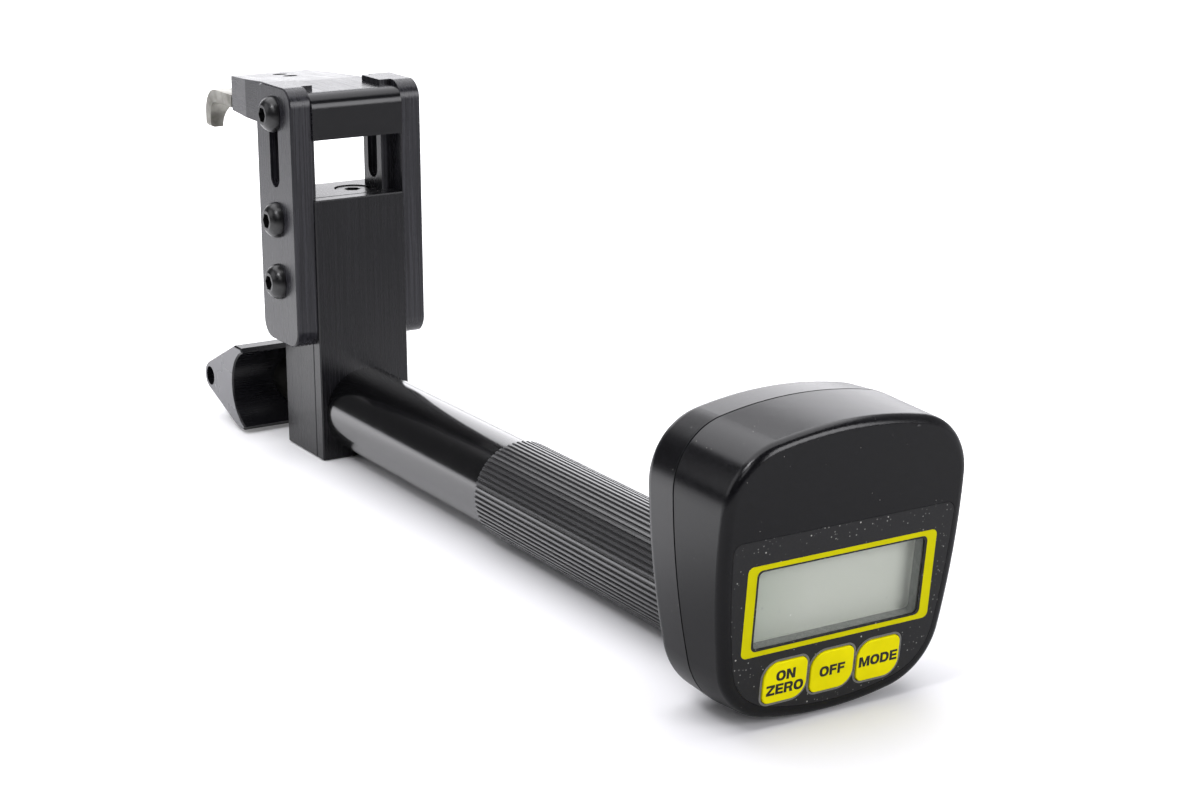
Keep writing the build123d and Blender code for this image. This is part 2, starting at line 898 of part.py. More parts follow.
def front_shell():
    body = front_body()
    shell = body - front_form(housing_wall)
    for y, z in shell_screw_spots():
        shell += rod(front_boss_radius, seam_place - 5, face_place + 10, y, z) & body
    for spot in board_post_spots:
        post = Pos(*spot) * Circle(board_post_radius)
        shell += into_housing(post, housing_wall - 0.5, board_front)
        pilot = Pos(*spot) * Circle(board_screw_radius + thread_clearance)
        shell -= into_housing(pilot, board_front - board_screw_reach, board_front)
    window_hole = lens_margin + lens_clearance
    shell += into_housing(window_outline(window_hole + window_rim_wall), housing_wall - 0.5, housing_wall + window_rim)
    shell -= into_housing(panel_outline(panel_clearance), 0, panel_thickness)
    shell -= into_housing(window_outline(window_hole), 0, lcd_front)
    for spot in key_spots():
        shell -= into_housing(key_outline(spot, key_clearance), 0, housing_wall + 0.1)
    end = housing_back + shell_screw_sink + shell_screw_length + 0.5
    for y, z in shell_screw_spots():
        shell -= rod(shell_screw_radius + thread_clearance, seam_place - 5, end, y, z)
    return shell


def shell_screws():
    pieces = []
    for y, z in shell_screw_spots():
        screw = socket_screw(
            shell_screw_radius, shell_screw_length, shell_screw_head_radius, shell_screw_head_height, 1.8
        )
        pieces.append(Pos(housing_back + shell_screw_sink, y, z) * Rot(0, -90, 0) * screw)
    return assembled(pieces)


# Face: panel, window, display, keys


def overlay_panel():
    shape = panel_outline(0) - window_outline(0)
    for spot in key_spots():
        shape -= key_outline(spot, key_clearance)
    return into_housing(shape, 0, panel_thickness)


def window_lens():
    shape = window_outline(lens_margin)
    return into_housing(shape, panel_thickness, panel_thickness + lens_thickness)


def lcd_module():
    body = into_housing(Rectangle(lcd_width, lcd_height), lcd_front, board_front)
    view = RectangleRounded(window_width + lens_margin, window_height + lens_margin, window_corner)
    return body - into_housing(view, lcd_front - 0.1, lcd_front + 0.3)


def key(spot):
    wall_back = housing_wall + key_flange_gap
    cap = into_housing(key_outline(spot, 0), -key_proud, wall_back)
    front_rim = cap.faces().sort_by(Axis.X)[-1].edges()
    cap = fillet(front_rim, key_edge)
    flange = into_housing(key_outline(spot, key_flange_margin), wall_back, wall_back + key_flange_thickness)
    switch_top = board_front - switch_height - switch_button_height
    stem = Pos(spot, key_row) * Circle(key_stem_radius)
    reach = switch_top - key_travel - key_rest_gap
    return cap + flange + into_housing(stem, wall_back, reach)


def key_switches():
    pieces = []
    for spot in key_spots():
        body = Pos(spot, key_row) * Rectangle(switch_size, switch_size)
        button = Pos(spot, key_row) * Circle(switch_button_radius)
        top = board_front - switch_height
        pieces.append(into_housing(body, top, board_front) + into_housing(button, top - switch_button_height, top))
    return assembled(pieces)


# Circuit board


def board_outline():
    upper = bar_outline(board_width, board_tab_start, board_top)
    tab = bar_outline(board_tab_width, 2 * key_row, board_tab_start + 1)
    room = outline(housing_wall + board_wall_gap, housing_draft, face_tilt)
    return (upper + tab) & room


def bar_outline(width, low, high):
    return Pos(0, (low + high) / 2) * Rectangle(width, high - low)


def connector_place():
    # along the board, where its outer face meets the tube axis
    depth = board_back + connector_size[2]
    return -(face_height + depth * sin(tilt)) / cos(tilt)


def circuit_board():
    board = into_housing(board_outline(), board_front, board_back)
    for spot in board_post_spots:
        board -= into_housing(Pos(*spot) * Circle(board_screw_radius + thread_clearance), board_front, board_back)
    wide, tall, deep = connector_size
    at = connector_place()
    board += into_housing(Pos(0, at) * Rectangle(wide, tall), board_back, board_back + deep)
    chips = ((-17.0, -5.0, 12.0, 12.0, 1.5), (13.0, -7.0, 6.0, 9.0, 1.3), (22.0, -8.0, 4.0, 7.0, 2.2))
    for y, t, width, height, depth in chips:
        board += into_housing(Pos(y, t) * Rectangle(width, height), board_back, board_back + depth)
    return board


def board_screws():
    length = board_thickness + board_screw_reach - 0.4
    screw = socket_screw(board_screw_radius, length, board_screw_head_radius, board_screw_head_height, 1.5)
    back = face_plane.offset(-board_back)
    return assembled([back * Pos(y, t) * Rot(180, 0, 0) * screw for y, t in board_post_spots])


# Battery, snap connector and door

battery_end = tray_length / 2 - battery_clearance - battery_length
battery_front = housing_inside + battery_clearance


def terminal_spots():
    return [battery_middle + side * terminal_spacing / 2 for side in (-1, 1)]


def battery():
    middle_y = battery_end + battery_length / 2
    case = Box(battery_depth, battery_length, battery_height)
    case = fillet(case.edges().filter_by(Axis.Y), battery_round)
    case = Pos(battery_front + battery_depth / 2, middle_y, battery_middle) * case
    for radius, z in zip(terminal_radii, terminal_spots()):
        case += cross_rod(radius, battery_front + battery_depth / 2, battery_end - terminal_height, battery_end, z)
    return on_back(case)


def battery_clip():
    x = battery_front + battery_depth / 2
    length = terminal_spacing + 2 * terminal_radii[1] + 3
    clip = Box(clip_width, clip_thickness, length)
    clip = fillet(clip.edges().filter_by(Axis.Y), 1.5)
    clip = Pos(x, battery_end - clip_thickness / 2, battery_middle) * clip
    for radius, z in zip(terminal_radii, terminal_spots()):
        clip -= cross_rod(radius + clip_clearance, x, battery_end - terminal_height - clip_clearance, battery_end, z)
    return on_back(clip)


def battery_door():
    plate = extrude(door_outline(door_lip - door_clearance), door_thickness, dir=(1, 0, 0))
    rim = door_outline(-door_clearance) - door_outline(-door_clearance - door_rim_wall)
    plate += extrude(rim, housing_wall, dir=(1, 0, 0))
    return on_back(plate - finger_scoop())


# Signal lead


def lead_path():
    # straight in both plugs, down to the tube's floor in between
    drop = tube_bore - lead_radius
    turn = acos(1 - drop / (2 * lead_bend))
    half_run = lead_bend * sin(turn)
    mid = (lead_bend * sin(turn / 2), lead_bend * (1 - cos(turn / 2)))
    depth = board_back + connector_size[2]
    end = face_place - (depth + face_height * sin(tilt)) / cos(tilt) - lead_radius * tan(tilt) - 0.02

    def bend(start, way):
        first = ThreePointArc(
            (start, 0, 0),
            (start + way * mid[0], 0, -mid[1]),
            (start + way * half_run, 0, -drop / 2),
        )
        low = start + way * 2 * half_run
        second = ThreePointArc(
            (start + way * half_run, 0, -drop / 2),
            (low - way * mid[0], 0, -drop + mid[1]),
            (low, 0, -drop),
        )
        return first, second, low

    near = lead_clamp
    far = housing_back - lead_clamp
    first, second, low_start = bend(near, 1)
    last, before, low_end = bend(far, -1)
    edges = [
        Line((-cover_thickness, 0, 0), (near, 0, 0)),
        first,
        second,
        Line((low_start, 0, -drop), (low_end, 0, -drop)),
        before,
        last,
        Line((far, 0, 0), (end, 0, 0)),
    ]
    return Wire([edge for piece in edges for edge in piece.edges()])


def signal_lead():
    start = Plane(origin=(-cover_thickness, 0, 0), z_dir=(1, 0, 0))
    return sweep(start * Circle(lead_radius), path=lead_path())


def build_parts():
    left, off, right = key_spots()
    return {
        "load_block": load_block(),
        "front_cover": front_cover(),
        "cover_screws": cover_screws(),
        "block_plug": block_plug(),
        "side_plate_left": side_plate(-1),
        "side_plate_right": side_plate(1),
        "plate_screws": head_screws(plate_screw_heights, 0),
        "crosshead": crosshead(),
        "clamp_screws": head_screws((clamp_height,), clamp_seat_gap),
        "claw": claw(),
        "claw_screws": claw_screws(),
        "foot": foot(),
        "foot_stem": foot_stem(),
        "stem_bush": stem_bush(),
        "stem_ring": stem_ring(),
        "stem_screw": stem_screw(),
        "load_cell": load_cell(),
        "handle_tube": handle_tube(),
        "head_plug": head_plug(),
        "tail_plug": tail_plug(),
        "tail_nut": tail_nut(),
        "grip": grip(),
        "rear_shell": rear_shell(),
        "front_shell": front_shell(),
        "shell_screws": shell_screws(),
        "overlay_panel": overlay_panel(),
        "window_lens": window_lens(),
        "lcd_module": lcd_module(),
        "key_zero": key(left),
        "key_off": key(off),
        "key_mode": key(right),
        "key_switches": key_switches(),
        "circuit_board": circuit_board(),
        "board_screws": board_screws(),
        "battery": battery(),
        "battery_clip": battery_clip(),
        "battery_door": battery_door(),
        "signal_lead": signal_lead(),
    }


os.makedirs("parts", exist_ok=True)
for name, shape in build_parts().items():
    placed = Pos(-middle_x, 0, axis_height) * shape
    export_step(placed, f"parts/{name}.step")
    size = placed.bounding_box().size
    print(f"{name}: {size.X:.2f} x {size.Y:.2f} x {size.Z:.2f}")
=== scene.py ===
import bpy
import bmesh
import math
from mathutils import Matrix, Vector, geometry


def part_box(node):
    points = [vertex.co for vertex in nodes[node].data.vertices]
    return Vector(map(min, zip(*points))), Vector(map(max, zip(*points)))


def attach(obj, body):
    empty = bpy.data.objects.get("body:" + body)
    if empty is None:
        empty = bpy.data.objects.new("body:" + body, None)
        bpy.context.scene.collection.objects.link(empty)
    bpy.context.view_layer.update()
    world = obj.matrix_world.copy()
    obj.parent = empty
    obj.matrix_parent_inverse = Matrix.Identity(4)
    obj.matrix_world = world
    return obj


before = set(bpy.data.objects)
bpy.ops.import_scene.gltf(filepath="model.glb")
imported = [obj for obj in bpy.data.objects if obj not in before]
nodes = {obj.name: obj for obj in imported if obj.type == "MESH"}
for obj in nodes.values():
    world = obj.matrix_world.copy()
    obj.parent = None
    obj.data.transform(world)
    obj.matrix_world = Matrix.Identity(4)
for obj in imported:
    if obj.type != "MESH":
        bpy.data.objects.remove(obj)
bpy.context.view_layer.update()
print("frame loaded:", len(nodes), "nodes")

mm = 0.001


# places taken from the frame

tubeLow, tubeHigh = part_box("handle_tube")
axisHeight = (tubeLow.z + tubeHigh.z) / 2  # the tube's axis above the floor
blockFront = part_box("front_cover")[1].x  # the block's front face


# display face, whose middle is the window's middle

face = {
    "tilt": math.radians(7),  # its top stands farther from the block than its foot
    "height": 17 * mm,  # the middle above the tube axis
    "reach": 263 * mm,  # the middle in front of the block
}

faceOut = Vector((math.cos(face["tilt"]), 0, -math.sin(face["tilt"])))
faceUp = Vector((math.sin(face["tilt"]), 0, math.cos(face["tilt"])))
faceMiddle = Vector((blockFront + face["reach"], 0, axisHeight + face["height"]))
faceMatrix = Matrix((
    (0, faceUp.x, faceOut.x, faceMiddle.x),
    (1, faceUp.y, faceOut.y, faceMiddle.y),
    (0, faceUp.z, faceOut.z, faceMiddle.z),
    (0, 0, 0, 1),
))


# seam of the two shells, a plane that leans towards the head

seamLean = math.radians(-3.5)
seamOut = Vector((math.cos(seamLean), 0, -math.sin(seamLean)))
seamUp = Vector((math.sin(seamLean), 0, math.cos(seamLean)))
seamReach = min(v.co.dot(seamOut) for v in nodes["front_shell"].data.vertices)


# camera, at the photograph's viewing angle

camera = {
    "place": (710.22, -338.98, 222.0),  # mm from the block's front face and the tube axis
    "yaw": 148.797,  # degrees, from +X
    "pitch": 15.626,  # down
    "roll": -0.149,
    "lens": 73.23,
    "sensor": 36.0,
    "clip": (0.01, 30),
}


def addCamera():
    yaw, pitch, roll = (math.radians(camera[k]) for k in ("yaw", "pitch", "roll"))
    ahead = Vector((
        math.cos(yaw) * math.cos(pitch),
        math.sin(yaw) * math.cos(pitch),
        -math.sin(pitch),
    ))
    level = Vector((math.sin(yaw), -math.cos(yaw), 0))
    upright = level.cross(ahead)
    right = math.cos(roll) * level + math.sin(roll) * upright
    up = -math.sin(roll) * level + math.cos(roll) * upright
    place = Vector(camera["place"]) * mm + Vector((blockFront, 0, axisHeight))
    data = bpy.data.cameras.new("camera")
    data.lens = camera["lens"]
    data.sensor_width = camera["sensor"]
    data.sensor_fit = "HORIZONTAL"
    data.clip_start, data.clip_end = camera["clip"]
    cam = bpy.data.objects.new("camera", data)
    cam.matrix_world = Matrix((
        (right.x, up.x, -ahead.x, place.x),
        (right.y, up.y, -ahead.y, place.y),
        (right.z, up.z, -ahead.z, place.z),
        (0, 0, 0, 1),
    ))
    bpy.context.scene.collection.objects.link(cam)
    bpy.context.scene.camera = cam


addCamera()
print("camera placed")


# node helpers: a value may be a plain one or another node's output

def newMaterial(name):
    mat = bpy.data.materials.new(name)
    mat.use_nodes = True
    tree = mat.node_tree
    return mat, tree, tree.nodes["Principled BSDF"]


def addNode(tree, kind, **settings):
    node = tree.nodes.new(kind)
    for key, value in settings.items():
        setattr(node, key, value)
    return node


def feed(tree, value, socket):
    if isinstance(value, bpy.types.NodeSocket):
        tree.links.new(value, socket)
    else:
        socket.default_value = value


def setInputs(tree, node, values):
    for name, value in values.items():
        feed(tree, value, node.inputs[name])


def coordinates(tree, kind="Object"):
    return addNode(tree, "ShaderNodeTexCoord").outputs[kind]


def objectCoords(tree, scale=(1, 1, 1)):
    # object coordinates stretched by a scale for each axis
    mapping = addNode(tree, "ShaderNodeMapping")
    setInputs(tree, mapping, {"Scale": scale, "Vector": coordinates(tree)})
    return mapping.outputs["Vector"]


def splitAxes(tree, vector):
    node = addNode(tree, "ShaderNodeSeparateXYZ")
    tree.links.new(vector, node.inputs["Vector"])
    return node.outputs


def compute(tree, operation, *values):
    node = addNode(tree, "ShaderNodeMath", operation=operation)
    for value, socket in zip(values, node.inputs):
        feed(tree, value, socket)
    return node.outputs[0]


def computeVector(tree, operation, *values):
    node = addNode(tree, "ShaderNodeVectorMath", operation=operation)
    for value, socket in zip(values, node.inputs):
        feed(tree, value, socket)
    givesNumber = operation in ("LENGTH", "DISTANCE", "DOT_PRODUCT")
    return node.outputs["Value" if givesNumber else "Vector"]


def noise(tree, vector, scale, detail=3.0, roughness=0.55):
    node = addNode(tree, "ShaderNodeTexNoise")
    setInputs(tree, node, {"Vector": vector, "Scale": scale, "Detail": detail, "Roughness": roughness})
    return node.outputs["Fac"]


def remap(tree, value, start, end, low=0.0, high=1.0, smooth=False):
    # maps start..end to low..high, and holds beyond the ends
    kind = "SMOOTHSTEP" if smooth else "LINEAR"
    node = addNode(tree, "ShaderNodeMapRange", interpolation_type=kind)
    setInputs(tree, node, {"Value": value, "From Min": start, "From Max": end})
    setInputs(tree, node, {"To Min": low, "To Max": high})
    return node.outputs["Result"]


def spread(tree, value, low, high):
    # maps 0..1 to low..high
    return remap(tree, value, 0.0, 1.0, low, high)


def ramp(tree, value, stops):
    # colour ramp from (position, colour) stops
    node = addNode(tree, "ShaderNodeValToRGB")
    elements = node.color_ramp.elements
    while len(elements) < len(stops):
        elements.new(0.5)
    for element, (place, colour) in zip(elements, stops):
        element.position = place
        element.color = (*colour, 1)
    tree.links.new(value, node.inputs["Fac"])
    return node.outputs["Color"]


def shade(tree, value, look, tone=1.0):
    # dark to light over the span that the look gives
    colours = (tuple(tone * c for c in look[key]) for key in ("dark", "light"))
    return ramp(tree, value, list(zip(look["span"], colours)))


def blend(tree, factor, first, second):
    # between two numbers
    node = addNode(tree, "ShaderNodeMix")
    for index, value in ((0, factor), (2, first), (3, second)):
        feed(tree, value, node.inputs[index])
    return node.outputs[0]


def mixColour(tree, factor, first, second):
    node = addNode(tree, "ShaderNodeMix", data_type="RGBA")
    sockets = [s for s in node.inputs if s.type == "RGBA"]
    for value, socket in zip((first, second), sockets):
        feed(tree, (*value, 1) if isinstance(value, tuple) else value, socket)
    feed(tree, factor, node.inputs["Factor"])
    return [s for s in node.outputs if s.type == "RGBA"][0]


def bump(tree, height, strength, distance):
    node = addNode(tree, "ShaderNodeBump")
    setInputs(tree, node, {"Height": height, "Strength": strength, "Distance": distance})
    return node.outputs["Normal"]


def dress(tree, shader, colour, roughness, normal=None, sockets=None):
    # what varies is linked, and what is even is set on the shader's own sockets
    setInputs(tree, shader, {"Base Color": colour, "Roughness": roughness})
    if normal is not None:
        tree.links.new(normal, shader.inputs["Normal"])
    setInputs(tree, shader, sockets or {})


speck = {
    "edge": 0.4,  # full strength inside this share of the radius
    "contrast": 1.3,
}


def specks(tree, scale, size, share):
    # round dust specks of varied brightness, in this share of the cells
    cells = addNode(tree, "ShaderNodeTexVoronoi")
    setInputs(tree, cells, {"Vector": objectCoords(tree), "Scale": scale})
    near = remap(tree, cells.outputs["Distance"], size, size * speck["edge"])
    channels = addNode(tree, "ShaderNodeSeparateColor")
    tree.links.new(cells.outputs["Color"], channels.inputs["Color"])
    chosen = compute(tree, "LESS_THAN", channels.outputs["Red"], share)
    bright = compute(tree, "POWER", channels.outputs["Green"], speck["contrast"])
    return compute(tree, "MULTIPLY", compute(tree, "MULTIPLY", near, chosen), bright)


# black anodised pieces

anodised = {
    "dark": (0.0020, 0.0020, 0.0025),
    "light": (0.0140, 0.0138, 0.0165),
    "span": (0.3, 0.75),
    "streaks": (1.0, 4.0, 0.6),  # scale, detail and roughness of the noise
    "clouds": 60.0,
    "roughness": (0.21, 0.32),
    "swing": (0.55, 1.45),  # how the streaks change that roughness
    "bump": (0.14, 0.00003),
    "calm": 0.5,  # level of the streaks on a calm side
    "turned": (0.1, 0.45),  # levels of the streaks on a turned side
}

machining = {  # stretch of the machining lines along each axis
    "fine": (2300.0, 2300.0, 30.0),
    "upright": (1100.0, 1100.0, 22.0),
    "long": (18.0, 900.0, 900.0),
    "wide": (900.0, 18.0, 900.0),
    "across": (1800.0, 60.0, 1800.0),
}

anodisedParts = {
    "black anodised": {
        "lines": "fine",
        "tone": 1.0,
        "specular": 0.31,
        "contrast": 0.6,
    },
    "black anodised plate": {
        "lines": "upright",
        # painted light: a lighter copy of the block's black anodised
        "tone": 2.5,
        "specular": 0.36,
        "contrast": 0.8,
    },
    "black anodised arm": {
        "lines": "long",
        # painted light: a lighter copy of the block's black anodised
        "tone": 1.9,
        "specular": 0.36,
        "contrast": 1.0,
        "side": "X",
        "facing": (0.2, 0.6),  # how far a face has to look to that side
        "sideLines": "wide",
    },
    "black anodised foot": {
        "lines": "across",
        "tone": 1.0,
        "specular": 0.30,
        "contrast": 0.3,
        "side": "Y",
        "facing": (0.8, 1.0),
        # painted light: the foot's end faces painted far paler than the black anodised
        "sideColour": (0.165, 0.165, 0.175),
    },
}


def blackAnodised(name):
    # machining streaks, which turn or grow calm on the faces towards one side; on the foot those faces
    # are painted lighter, as painted light
    mat, tree, shader = newMaterial(name)
    part = anodisedParts[name]
    low, high = 0.5 - part["contrast"] / 2, 0.5 + part["contrast"] / 2
    lines = objectCoords(tree, machining[part["lines"]])
    streaks = spread(tree, noise(tree, lines, *anodised["streaks"]), low, high)
    clouds = noise(tree, objectCoords(tree), anodised["clouds"])
    if "side" in part:
        towards = splitAxes(tree, coordinates(tree, "Normal"))[part["side"]]
        facing = remap(tree, compute(tree, "ABSOLUTE", towards), *part["facing"])
        aside = anodised["calm"]
        if "sideLines" in part:
            lines = objectCoords(tree, machining[part["sideLines"]])
            aside = spread(tree, noise(tree, lines, *anodised["streaks"]), *anodised["turned"])
        streaks = blend(tree, facing, streaks, aside)
    colour = shade(tree, streaks, anodised, part["tone"])
    # painted light: the faces towards that side take the paler painted colour
    if "sideColour" in part:
        colour = mixColour(tree, facing, colour, part["sideColour"])
    swing = spread(tree, streaks, *anodised["swing"])
    roughness = compute(tree, "MULTIPLY", swing, spread(tree, clouds, *anodised["roughness"]))
    relief = bump(tree, streaks, *anodised["bump"])
    dress(tree, shader, colour, roughness, relief, {"Specular IOR Level": part["specular"]})
    return mat


# bare metals

steel = {
    "dark": (0.20, 0.195, 0.17),
    "light": (0.52, 0.51, 0.47),
    "span": (0.35, 0.7),
    "stains": (120.0, 4.0),
    "scratches": (1.0, 5.0, 0.65),
    "roughness": (0.34, 0.55),
    "bump": (0.3, 0.00004),
    "sockets": {"Metallic": 1.0},
}

steelParts = {
    "ground steel": {"lines": (60.0, 900.0, 900.0), "tone": 1.0},
    "bare claw steel": {"lines": (700.0, 60.0, 700.0), "tone": 1.0},
    # painted shade: the rod's ground steel darkened to about an eighth of its colour
    "rod steel painted shade": {"lines": (60.0, 900.0, 900.0), "tone": 0.12},
}


def bareSteel(name):
    # fine scratches and faint stains
    mat, tree, shader = newMaterial(name)
    part = steelParts[name]
    scratches = noise(tree, objectCoords(tree, part["lines"]), *steel["scratches"])
    colour = shade(tree, noise(tree, objectCoords(tree), *steel["stains"]), steel, part["tone"])
    roughness = spread(tree, scratches, *steel["roughness"])
    relief = bump(tree, scratches, *steel["bump"])
    dress(tree, shader, colour, roughness, relief, steel["sockets"])
    return mat


bushBronze = {
    "dark": (0.36, 0.22, 0.08),
    "light": (0.6, 0.4, 0.17),
    "span": (0.3, 0.8),
    "rings": (900, 60, 60),  # stretch of the turning marks
    "roughness": (0.25, 0.4),
    "sockets": {"Metallic": 1.0},
}


def bearingBronze():
    mat, tree, shader = newMaterial("bearing bronze")
    rings = noise(tree, objectCoords(tree, bushBronze["rings"]), 1.0)
    roughness = spread(tree, rings, *bushBronze["roughness"])
    dress(tree, shader, shade(tree, rings, bushBronze), roughness, None, bushBronze["sockets"])
    return mat


# tube and grip

tubeGloss = {
    "colour": (0.0012, 0.0012, 0.0014),
    "dustColour": (0.10, 0.10, 0.10),
    "dust": (420.0, 0.10, 0.25),  # cells to the metre, speck in its cell, share of the cells
    "waves": (90.0, 2.0),
    "roughness": (0.12, 0.20),
    "bump": (0.04, 0.00004),
    "sockets": {"Specular IOR Level": 0.9, "Coat Weight": 0.35, "Coat Roughness": 0.05},
}


def glossBlack():
    # smooth baked coating with faint waviness and dust
    mat, tree, shader = newMaterial("gloss black coating")
    waves = noise(tree, objectCoords(tree), *tubeGloss["waves"])
    dust = specks(tree, *tubeGloss["dust"])
    colour = mixColour(tree, dust, tubeGloss["colour"], tubeGloss["dustColour"])
    roughness = spread(tree, waves, *tubeGloss["roughness"])
    dress(tree, shader, colour, roughness, bump(tree, waves, *tubeGloss["bump"]), tubeGloss["sockets"])
    return mat


ribs = {
    "dark": (0.012, 0.012, 0.013),  # least worn
    "light": (0.062, 0.062, 0.064),  # most worn
    "span": (0.3, 0.75),
    "wear": (8, 300, 300),  # stretch along the ribs
    "grain": (60, 1500, 1500),
    "detail": 2.0,
    "top": (14.75 * mm, 15.05 * mm),  # distances from the axis, from groove to rib
    # painted shade: near black in the grooves
    "paintedGrooveShade": (0.0012, 0.0012, 0.0013),
    "grooveRoughness": 0.9,
    "roughness": (0.25, 0.31),
    "bump": (0.02, 0.00002),
    "sockets": {"Specular IOR Level": 1.0, "Coat Weight": 0.5, "Coat Roughness": 0.22},
}


def gripRubber():
    # painted shade in the grooves; paler on top of the ribs, partly wear and partly painted highlight
    mat, tree, shader = newMaterial("grip rubber")
    grain = noise(tree, objectCoords(tree, ribs["grain"]), 1.0, ribs["detail"])
    wear = noise(tree, objectCoords(tree, ribs["wear"]), 1.0, ribs["detail"])
    gripLow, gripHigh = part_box("grip")
    axis = nodes["grip"].matrix_world.inverted() @ ((gripLow + gripHigh) / 2)
    fromAxis = computeVector(tree, "SUBTRACT", coordinates(tree), axis)
    radius = computeVector(tree, "LENGTH", computeVector(tree, "MULTIPLY", fromAxis, (0, 1, 1)))
    top = remap(tree, radius, *ribs["top"])
    # painted shade in the grooves, painted highlight with wear on the rib tops
    colour = mixColour(tree, top, ribs["paintedGrooveShade"], shade(tree, wear, ribs))
    polished = spread(tree, grain, *ribs["roughness"])
    roughness = blend(tree, top, ribs["grooveRoughness"], polished)
    dress(tree, shader, colour, roughness, bump(tree, grain, *ribs["bump"]), ribs["sockets"])
    return mat


# display housing, its film, print and window

housing = {
    "dark": (0.0014, 0.0014, 0.0019),
    "light": (0.0056, 0.0055, 0.0070),
    "span": (0.35, 0.7),
    "mottle": (1100.0, 3.0, 0.7),  # of the colour
    "texture": (2600.0, 2.0),  # of the surface
    "dust": (400.0, 0.065, 0.6),
    "dustColour": (0.42, 0.41, 0.38),
    "roughness": (0.18, 0.26),
    "seamWidth": 0.38 * mm,  # dull band either side of the seam
    "seamEdge": 0.6,  # fully dull inside this share of it
    "bump": (0.12, 0.00003),
    "sockets": {"Specular IOR Level": 0.33},
}


def housingPlastic():
    # fine spark texture of the mould, a few specks of dust, duller along the seam
    mat, tree, shader = newMaterial("housing plastic")
    texture = noise(tree, objectCoords(tree), *housing["texture"])
    mottle = noise(tree, objectCoords(tree), *housing["mottle"])
    dust = specks(tree, *housing["dust"])
    colour = mixColour(tree, dust, shade(tree, mottle, housing), housing["dustColour"])
    place = addNode(tree, "ShaderNodeNewGeometry").outputs["Position"]
    ahead = computeVector(tree, "DOT_PRODUCT", place, seamOut)
    distance = compute(tree, "ABSOLUTE", compute(tree, "SUBTRACT", ahead, seamReach))
    width = housing["seamWidth"]
    dull = remap(tree, distance, width, width * housing["seamEdge"])
    roughness = compute(tree, "MAXIMUM", spread(tree, mottle, *housing["roughness"]), dull)
    dress(tree, shader, colour, roughness, bump(tree, texture, *housing["bump"]), housing["sockets"])
    return mat


film = {
    "dark": (0.007, 0.007, 0.008),
    "light": (0.015, 0.015, 0.016),
    "span": (0.3, 0.8),
    "grain": (1800.0, 2.0),
    "fineDust": (900.0, 0.22, 0.6),
    "fineColour": (0.34, 0.34, 0.32),
    "coarseDust": (480.0, 0.13, 0.8),
    "coarseColour": (0.75, 0.74, 0.70),
    "roughness": (0.42, 0.6),
    "bump": (0.25, 0.00003),
    "sockets": {"Specular IOR Level": 0.4},
}


def panelFilm():
    # dark grey printed film, speckled with dust
    mat, tree, shader = newMaterial("panel film")
    grain = noise(tree, objectCoords(tree), *film["grain"])
    fine = specks(tree, *film["fineDust"])
    coarse = specks(tree, *film["coarseDust"])
    colour = mixColour(tree, fine, shade(tree, grain, film), film["fineColour"])
    colour = mixColour(tree, coarse, colour, film["coarseColour"])
    roughness = spread(tree, grain, *film["roughness"])
    dress(tree, shader, colour, roughness, bump(tree, grain, *film["bump"]), film["sockets"])
    return mat


yellow = {
    "key yellow": (0.95, 0.85, 0.002),
    "border yellow": (0.72, 0.67, 0.002),
    "darkest": 0.9,  # share of the colour left in the darkest places
    "span": (0.3, 0.7),
    "clouds": 110.0,
    "grain": (1400.0, 2.0),
    "roughness": (0.5, 0.65),
    "bump": (0.12, 0.00002),
    "sockets": {"Specular IOR Level": 0.06},
}


def yellowPrint(name):
    mat, tree, shader = newMaterial(name)
    grain = noise(tree, objectCoords(tree), *yellow["grain"])
    clouds = noise(tree, objectCoords(tree), yellow["clouds"])
    darker = tuple(c * yellow["darkest"] for c in yellow[name])
    colour = ramp(tree, clouds, list(zip(yellow["span"], (darker, yellow[name]))))
    roughness = spread(tree, grain, *yellow["roughness"])
    dress(tree, shader, colour, roughness, bump(tree, grain, *yellow["bump"]), yellow["sockets"])
    return mat


display = {
    # painted glare: lighter across the middle and right
    "stops": [(0.0, (0.44, 0.49, 0.40)), (0.4, (0.61, 0.64, 0.56)), (1.0, (0.62, 0.65, 0.57))],
    "grain": 700.0,
    "dust": (300.0, 0.09, 0.4),
    "dustColour": (1.0, 1.0, 0.98),
    "roughness": (0.35, 0.5),
    "bump": (0.05, 0.00002),
}


def displayGlass():
    # pale reflective polariser behind the window, darker towards its left end; the lighter middle and
    # right are painted glare
    mat, tree, shader = newMaterial("display glass")
    across = splitAxes(tree, coordinates(tree, "Generated"))["Y"]
    grain = noise(tree, objectCoords(tree), display["grain"])
    pale = ramp(tree, across, display["stops"])
    colour = mixColour(tree, specks(tree, *display["dust"]), pale, display["dustColour"])
    roughness = spread(tree, grain, *display["roughness"])
    dress(tree, shader, colour, roughness, bump(tree, grain, *display["bump"]))
    return mat


window = {
    "dark": (0.7, 0.74, 0.7),
    "light": (0.8, 0.84, 0.8),
    "span": (0.3, 0.7),
    "haze": 160.0,
    "roughness": (0.02, 0.08),
    "dust": (230.0, 0.075, 0.4),
    "alpha": (0.06, 0.9),  # clear glass and a speck of dust
}


def clearWindow():
    mat, tree, shader = newMaterial("clear window")
    haze = noise(tree, objectCoords(tree), window["haze"])
    roughness = spread(tree, haze, *window["roughness"])
    alpha = spread(tree, specks(tree, *window["dust"]), *window["alpha"])
    dress(tree, shader, shade(tree, haze, window), roughness, None, {"Alpha": alpha})
    return mat


board = {
    "stops": [(0.0, (0.012, 0.09, 0.03)), (1.0, (0.03, 0.17, 0.06))],
    "stretch": (0.01, 1, 1),
    "tracks": {"Scale": 220.0, "Mortar Size": 0.06},
    "roughness": 0.35,
}


